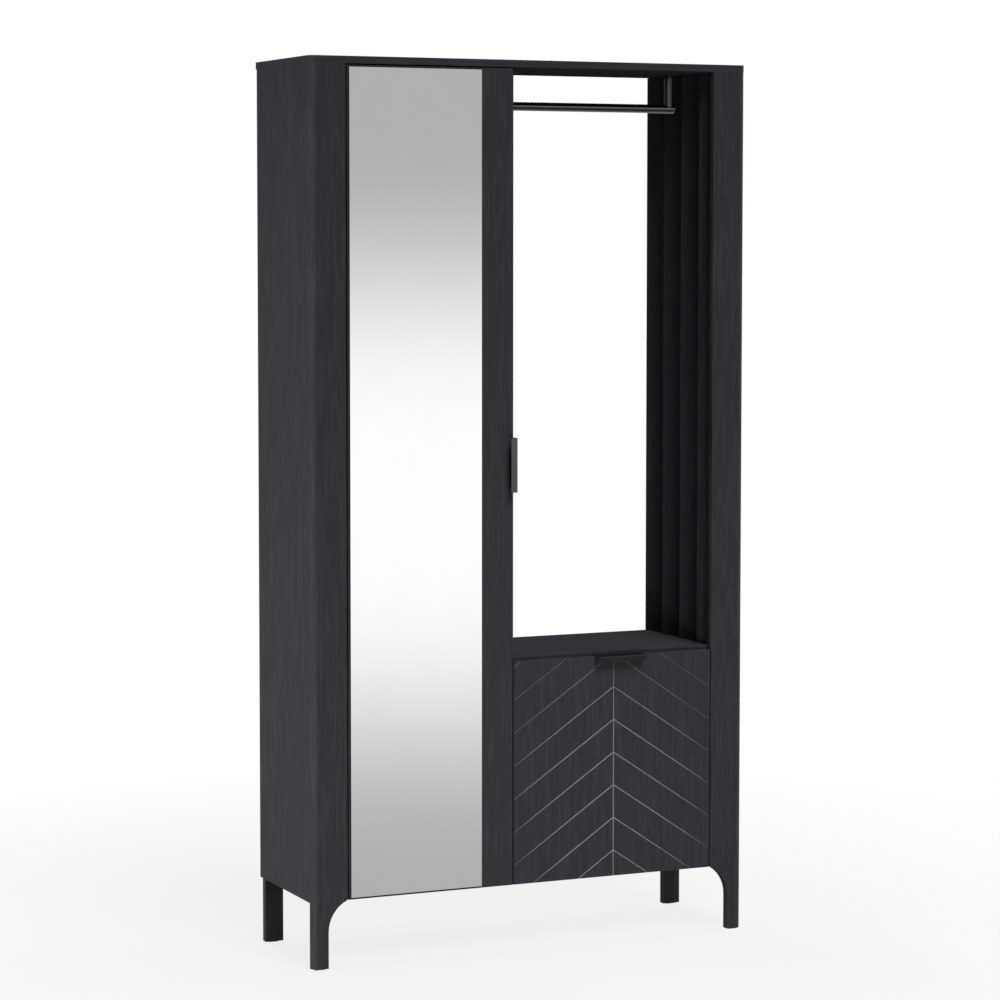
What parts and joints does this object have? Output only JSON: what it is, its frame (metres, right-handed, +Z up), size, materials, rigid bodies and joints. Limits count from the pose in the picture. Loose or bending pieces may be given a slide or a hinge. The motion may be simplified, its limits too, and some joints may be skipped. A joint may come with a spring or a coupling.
{
  "type": "wardrobe with mirror",
  "caption": "Black hall wardrobe on legs: tall mirror door, open coat niche with a hanging rail and a fluted side wall, and a tilting shoe cabinet with a chevron front.",
  "frame": {"origin": "on the floor, in the middle of the outer box of the shut wardrobe", "axes": "+Z up, +X to the right of someone who faces the front, and the front faces -Y"},
  "size_m": [1.07, 0.36, 2],
  "materials": {
    "black_board": "matt foil with a vertical grain",
    "raw_wood": "planed softwood",
    "hardboard": "lacquered on one side",
    "mirror": "silvered glass",
    "graphite_coat": "satin powder coat",
    "black_coat": "satin powder coat",
    "steel": "nickel plated",
    "zinc": "die-cast zinc alloy",
    "black_plastic": "moulded",
    "soft_bumper": "clear soft polymer"
  },
  "bodies": {
    "carcass": {"top_panel": "black_board", "bottom_panel": "black_board", "left_side_panel": "black_board", "right_side_panel": "black_board", "middle_divider": "black_board", "left_post": "black_board", "right_post": "black_board", "niche_shelf": "black_board", "lower_partition": "black_board", "fluted_panel": "black_board", "left_rear_leg": "black_board", "right_rear_leg": "black_board", "lower_wardrobe_shelf": "black_board", "upper_wardrobe_shelf": "black_board", "fluted_panel_battens": "raw_wood", "wardrobe_back": "hardboard", "shoe_cabinet_back": "hardboard", "clothes_rail": "black_coat", "foot_glides": "black_plastic", "wardrobe_rod": "steel", "rod_holders": "black_plastic", "shelf_pins": "steel", "rail_plugs": "steel", "rail_bolts": "black_coat", "hinge_arms": "steel", "hinge_plate_screws": "steel", "magnet_catch": "black_plastic", "flap_pivot_bushes": "black_plastic", "flap_stop_pins": "steel", "cam_discs": "zinc", "cam_bolts": "zinc", "back_panel_nails": "steel"},
    "door": {"door_panel": "black_board", "mirror_glass": "mirror", "door_handle": "graphite_coat", "door_handle_screws": "steel", "hinge_cups": "steel", "hinge_cup_screws": "steel", "hinge_pins": "steel", "strike_plate": "steel", "door_bumpers": "soft_bumper"},
    "flap": {"flap_panel": "black_board", "flap_handle": "graphite_coat", "flap_handle_screws": "steel", "flap_bumpers": "soft_bumper", "left_rack_cheek": "black_board", "right_rack_cheek": "black_board", "lower_tier_floor": "black_board", "upper_tier_floor": "black_board", "lower_tier_rail": "black_board", "upper_tier_rail": "black_board", "flap_pivot_pins": "steel"}
  },
  "joints": [
    {"name": "door_hinge", "type": "hinge", "parent": "carcass", "child": "door", "pos_m": [-0.4305, -0.148, 1.06625], "axis": [0, 0, -1], "range_deg": [0, 92]},
    {"name": "flap_pivot", "type": "hinge", "parent": "carcass", "child": "flap", "pos_m": [0.1995, -0.13, 0.157], "axis": [1, 0, 0], "range_deg": [0, 45]}
  ]
}
